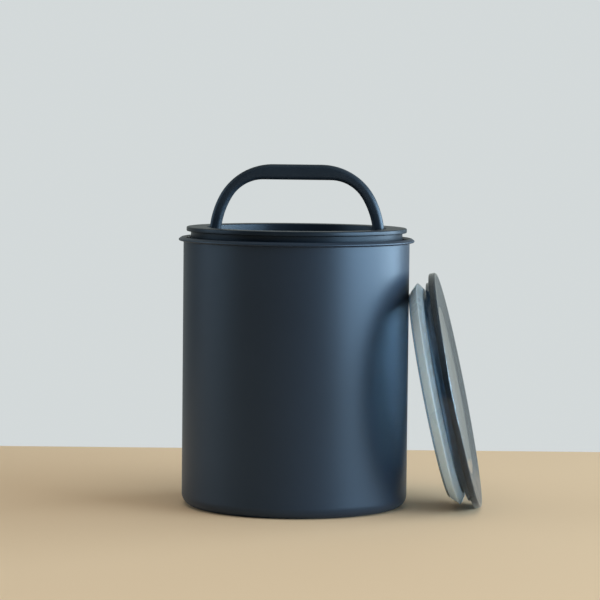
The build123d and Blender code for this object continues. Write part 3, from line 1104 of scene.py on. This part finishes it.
@dataclass
class OuterLid:
    """The smoky see-through lid and its gasket, leaning on the canister."""

    finishes: Finishes
    rim_height: float = 5.1 * MM
    rim_edge: float = 1.5 * MM
    rim_foot: float = 0.6 * MM
    step_radius: float = 83.9 * MM
    step_height: float = 3.3 * MM
    plug_radius: float = 77.6 * MM
    height: float = 22.3 * MM
    wall: float = 2.2 * MM
    rim_land: float = 1.0 * MM
    dish_width: float = 23.9 * MM
    dish_depth: float = 2.3 * MM
    groove_width: float = 1.7 * MM
    lip_width: float = 1.0 * MM
    lip_height: float = 1.5 * MM
    gasket_crest: float = 85.3 * MM
    gasket_crest_drop: float = 15.1 * MM
    gasket_top_drop: float = 11.2 * MM
    gasket_shoulder: float = 2.2 * MM
    gasket_gap: float = 0.05 * MM
    gasket_soft: float = 0.5 * MM
    gasket_crest_soft: float = 0.6 * MM
    dish_bend: float = 3 * MM
    plug_bend: float = 1.2 * MM
    size_trim: float = 0.01 * MM
    steps: int = 256

    def __post_init__(self) -> None:
        """Works out the lid's place and lean from the frame."""
        low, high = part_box("lid_shell")
        away = next(joint for joint in frame["joints"] if joint["name"] == "outer_lid_take_away")
        self.axis = Vector(away["axis"]).normalized()
        self.radius = (high.y - low.y) / 2 - self.size_trim
        lip = self.plug_radius + self.lip_width
        across = low.x + self.height * self.axis.x + lip * self.axis.z
        foot = self.radius - self.rim_foot
        side = self.rim_height - self.rim_foot
        up = low.z + self.rim_foot + foot * self.axis.x + side * self.axis.z
        lean = Matrix.Rotation(math.pi / 2 - math.asin(self.axis.z), 4, "Y")
        self.place = Matrix.Translation((across, (low.y + high.y) / 2, up)) @ lean
        self.dish_radius = self.radius - self.rim_edge - self.rim_land
        self.window_radius = self.dish_radius - self.dish_width

    def shell_section(self) -> list[Point]:
        """Gives the shell's section, from the dished face round the rim and plug and back."""
        step = -self.rim_height - self.step_height
        groove_outer = self.step_radius - self.wall
        groove_inner = groove_outer - self.groove_width
        lip = self.plug_radius + self.lip_width
        lip_top = -self.height + self.lip_height
        plug_inner = self.plug_radius - self.wall
        under = -self.dish_depth - self.wall
        return rounded(
            [
                (0, -self.dish_depth, 0),
                (self.window_radius, -self.dish_depth, self.dish_bend),
                (self.dish_radius, 0, self.dish_bend),
                (self.radius, 0, self.rim_edge),
                (self.radius, -self.rim_height, self.rim_foot),
                (self.step_radius, -self.rim_height, FINE),
                (self.step_radius, step, FINE),
                (groove_outer, step, FINE),
                (groove_outer, -self.wall, FINE),
                (groove_inner, -self.wall, FINE),
                (groove_inner, step, FINE),
                (self.plug_radius, step, FINE),
                (self.plug_radius, lip_top, 0),
                (lip, lip_top, TRIM),
                (lip, -self.height, FINE),
                (plug_inner, -self.height, FINE),
                (plug_inner, under, self.plug_bend),
                (0, under, 0),
            ],
            closed=False,
        )

    def gasket_section(self) -> list[Point]:
        """Gives the gasket's section: a broad fin with a soft crest."""
        inner = self.plug_radius + self.gasket_gap
        shoulder = inner + self.gasket_shoulder
        bottom = -self.height + self.lip_height
        return rounded(
            [
                (inner, -self.gasket_top_drop, CRISP),
                (shoulder, -self.gasket_top_drop, self.gasket_soft),
                (self.gasket_crest, -self.gasket_crest_drop, self.gasket_crest_soft),
                (shoulder, bottom, self.gasket_soft),
                (inner, bottom, CRISP),
            ]
        )

    def build(self) -> None:
        """Spins the shell and the gasket about the leaning axis."""
        shell = spun(self.shell_section(), self.steps, self.place, open_ends=True)
        for face in shell.faces:
            spoke = face.calc_center_median() - self.place.translation
            height = spoke.dot(self.axis)
            across = (spoke - height * self.axis).length
            sloped = self.window_radius < across < self.dish_radius and height > -self.dish_depth
            face.material_index = int(sloped)
        piece_from(
            "outer_lid_moulding",
            shell,
            Body.OUTER_LID,
            [self.finishes.smoked, self.finishes.frosted],
            ["lid_shell"],
            SHARP_ON_ROUNDS,
        )
        piece_from(
            "outer_lid_gasket_rubber",
            spun(self.gasket_section(), self.steps, self.place),
            Body.OUTER_LID,
            [self.finishes.clear_silicone],
            ["lid_gasket"],
            SHARP_ON_ROUNDS,
        )


@dataclass(frozen=True)
class Lamp:
    """A soft lamp that is aimed at the object's middle.

    Attributes:
        name: The lamp's name.
        side: Degrees from the camera's side, towards its right.
        lift: Degrees over the level of the object's middle.
        size: Width and height of the lamp.
        power: Its power in watts.
        colour: Its colour.
        mirrored: Whether glossy surfaces show it.
    """

    name: str
    side: float
    lift: float
    size: Point
    power: float
    colour: Colour
    mirrored: bool = True


def math_node(tree: bpy.types.NodeTree, operation: str, *values: object) -> Socket:
    """Adds a sum to a node tree.

    Args:
        tree: The tree.
        operation: What the sum does.
        *values: Its values, each a socket or a number.

    Returns:
        The result.
    """
    node = tree.nodes.new("ShaderNodeMath")
    node.operation = operation
    for socket, value in zip(node.inputs, values):
        if isinstance(value, Socket):
            tree.links.new(value, socket)
        else:
            socket.default_value = value
    return node.outputs["Value"]


@dataclass
class Studio:
    """The pale floor, the soft lamps, the world and the camera."""

    azimuth: float = math.radians(5.5)
    distance: float = 2.041
    eye_height: float = 0.294
    pitch: float = math.radians(3.88)
    turn: float = math.radians(0.085)
    roll: float = math.radians(0.60)
    lens_share: float = 2699 / 600
    sensor: float = 36.0
    clip: Point = (0.05, 50.0)
    floor_back: float = 0.34
    floor_reach: float = 1.5
    floor_roughness: float = 0.8
    floor_gloss: float = 0.2
    floor_colour: Colour = (0.72, 0.54, 0.38)
    floor_seen: Colour = (0.80, 0.525, 0.305)
    backdrop: Colour = (0.655, 0.695, 0.70)
    wall_light: Colour = (0.42, 0.46, 0.44)
    ceiling: float = 0.9
    world_fade: float = 2.0
    lamp_reach: float = 3.4
    lamp_aim: float = 0.12
    lamps: tuple[Lamp, ...] = (
        Lamp("window_front", 65, 8, (2.4, 1.8), 206, (0.54, 0.77, 1.0)),
        Lamp("window_back", 105, 7, (2.4, 1.8), 184, (0.58, 0.80, 1.0)),
        Lamp("left_fill", -90, 15, (2.8, 2.2), 46, (0.58, 0.79, 1.0)),
        Lamp("overhead", 10, 66, (3.6, 2.4), 38, (0.88, 0.94, 1.0), mirrored=False),
    )

    def floor_material(self) -> Material:
        """Makes the floor's pale matt finish, which the camera sees a little paler."""
        bench = Bench("pale_floor")
        bench.set(Roughness=self.floor_roughness, Specular_IOR_Level=self.floor_gloss)
        shade = bench.add("Mix", Factor=bench.add("LightPath").outputs["Is Camera Ray"])
        shade.data_type = "RGBA"
        shade.inputs[MIX_COLOUR_A].default_value = (*self.floor_colour, 1)
        shade.inputs[MIX_COLOUR_B].default_value = (*self.floor_seen, 1)
        bench.set(Base_Color=shade.outputs[MIX_COLOUR_RESULT])
        return bench.material

    def build_floor(self) -> None:
        """Lays the floor, which ends a little behind the object."""
        shape = bmesh.new()
        bmesh.ops.create_grid(shape, x_segments=1, y_segments=1, size=self.floor_reach)
        middle = (0, self.floor_back - self.floor_reach, 0)
        bmesh.ops.translate(shape, vec=middle, verts=shape.verts)
        turned = Matrix.Rotation(self.azimuth, 3, "Z")
        bmesh.ops.rotate(shape, cent=(0, 0, 0), matrix=turned, verts=shape.verts)
        mesh = bpy.data.meshes.new("floor")
        shape.to_mesh(mesh)
        shape.free()
        mesh.materials.append(self.floor_material())
        floor = bpy.data.objects.new("floor", mesh)
        bpy.context.scene.collection.objects.link(floor)

    def build_world(self) -> None:
        """Makes a pale wall where the camera looks, and dim light from behind and above."""
        world = bpy.data.worlds.new("studio_world")
        bpy.context.scene.world = world
        world.use_nodes = True
        tree = world.node_tree
        nodes, links = tree.nodes, tree.links
        nodes.clear()
        output = nodes.new("ShaderNodeOutputWorld")
        seen = nodes.new("ShaderNodeBackground")
        fill(tree, seen, Color=(*self.backdrop, 1), Strength=1.0)
        lit = nodes.new("ShaderNodeBackground")
        back = (-math.sin(self.azimuth), math.cos(self.azimuth), 0)
        direction = nodes.new("ShaderNodeTexCoord").outputs["Generated"]
        shares = []
        for side, strength in ((back, 1.0), ((0, 0, 1), self.ceiling)):
            toward = nodes.new("ShaderNodeVectorMath")
            toward.operation = "DOT_PRODUCT"
            toward.inputs[1].default_value = side
            links.new(direction, toward.inputs[0])
            facing = math_node(tree, "MAXIMUM", toward.outputs["Value"], 0)
            fading = math_node(tree, "POWER", facing, self.world_fade)
            shares.append(math_node(tree, "MULTIPLY", fading, strength))
        fill(tree, lit, Color=(*self.wall_light, 1), Strength=math_node(tree, "ADD", *shares))
        path = nodes.new("ShaderNodeLightPath").outputs
        clear = math_node(tree, "MAXIMUM", path["Is Camera Ray"], path["Is Transmission Ray"])
        mix = nodes.new("ShaderNodeMixShader")
        fill(tree, mix, Fac=clear)
        links.new(lit.outputs["Background"], mix.inputs[1])
        links.new(seen.outputs["Background"], mix.inputs[2])
        fill(tree, output, Surface=mix.outputs["Shader"])

    def build_lamp(self, lamp: Lamp) -> None:
        """Hangs one soft lamp round the object, aimed at its middle.

        Args:
            lamp: What the lamp is like and where it hangs.
        """
        data = bpy.data.lights.new(lamp.name, "AREA")
        data.shape = "RECTANGLE"
        data.size, data.size_y = lamp.size
        data.energy = lamp.power
        data.color = lamp.colour
        light = bpy.data.objects.new(lamp.name, data)
        light.visible_glossy = lamp.mirrored
        bpy.context.scene.collection.objects.link(light)
        spoke = Vector((0, -self.lamp_reach, 0))
        spoke.rotate(Matrix.Rotation(-math.radians(lamp.lift), 3, "X"))
        spoke.rotate(Matrix.Rotation(self.azimuth + math.radians(lamp.side), 3, "Z"))
        light.location = Vector((0, 0, self.lamp_aim)) + spoke
        light.rotation_euler = (-spoke).to_track_quat("-Z", "Y").to_euler()

    def build_camera(self) -> None:
        """Places the camera where the photograph was taken from."""
        data = bpy.data.cameras.new("camera")
        data.sensor_width = self.sensor
        data.lens = self.sensor * self.lens_share
        data.clip_start, data.clip_end = self.clip
        camera = bpy.data.objects.new("camera", data)
        bpy.context.scene.collection.objects.link(camera)
        stand = Matrix.Translation((0, -self.distance, self.eye_height))
        place = Matrix.Rotation(self.azimuth, 4, "Z") @ stand
        aim = Matrix.Rotation(-self.turn, 4, "Z") @ Matrix.Rotation(
            math.pi / 2 - self.pitch, 4, "X"
        )
        camera.matrix_world = place @ aim @ Matrix.Rotation(self.roll, 4, "Z")
        bpy.context.scene.camera = camera

    def build(self) -> None:
        """Builds the stage round the object."""
        self.build_floor()
        self.build_world()
        for lamp in self.lamps:
            self.build_lamp(lamp)
        self.build_camera()
        bpy.context.scene.view_settings.view_transform = "Standard"


def main() -> None:
    """Builds every sub-assembly, then the stage."""
    logging.basicConfig(level=logging.INFO, format="%(name)s: %(message)s")
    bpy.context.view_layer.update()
    finishes = Finishes()
    for assembly in (Canister, InnerLid, Handle, Valve, OuterLid):
        log.info("building %s", assembly.__name__)
        assembly(finishes).build()
    Studio().build()


if __name__ == "__main__":
    main()
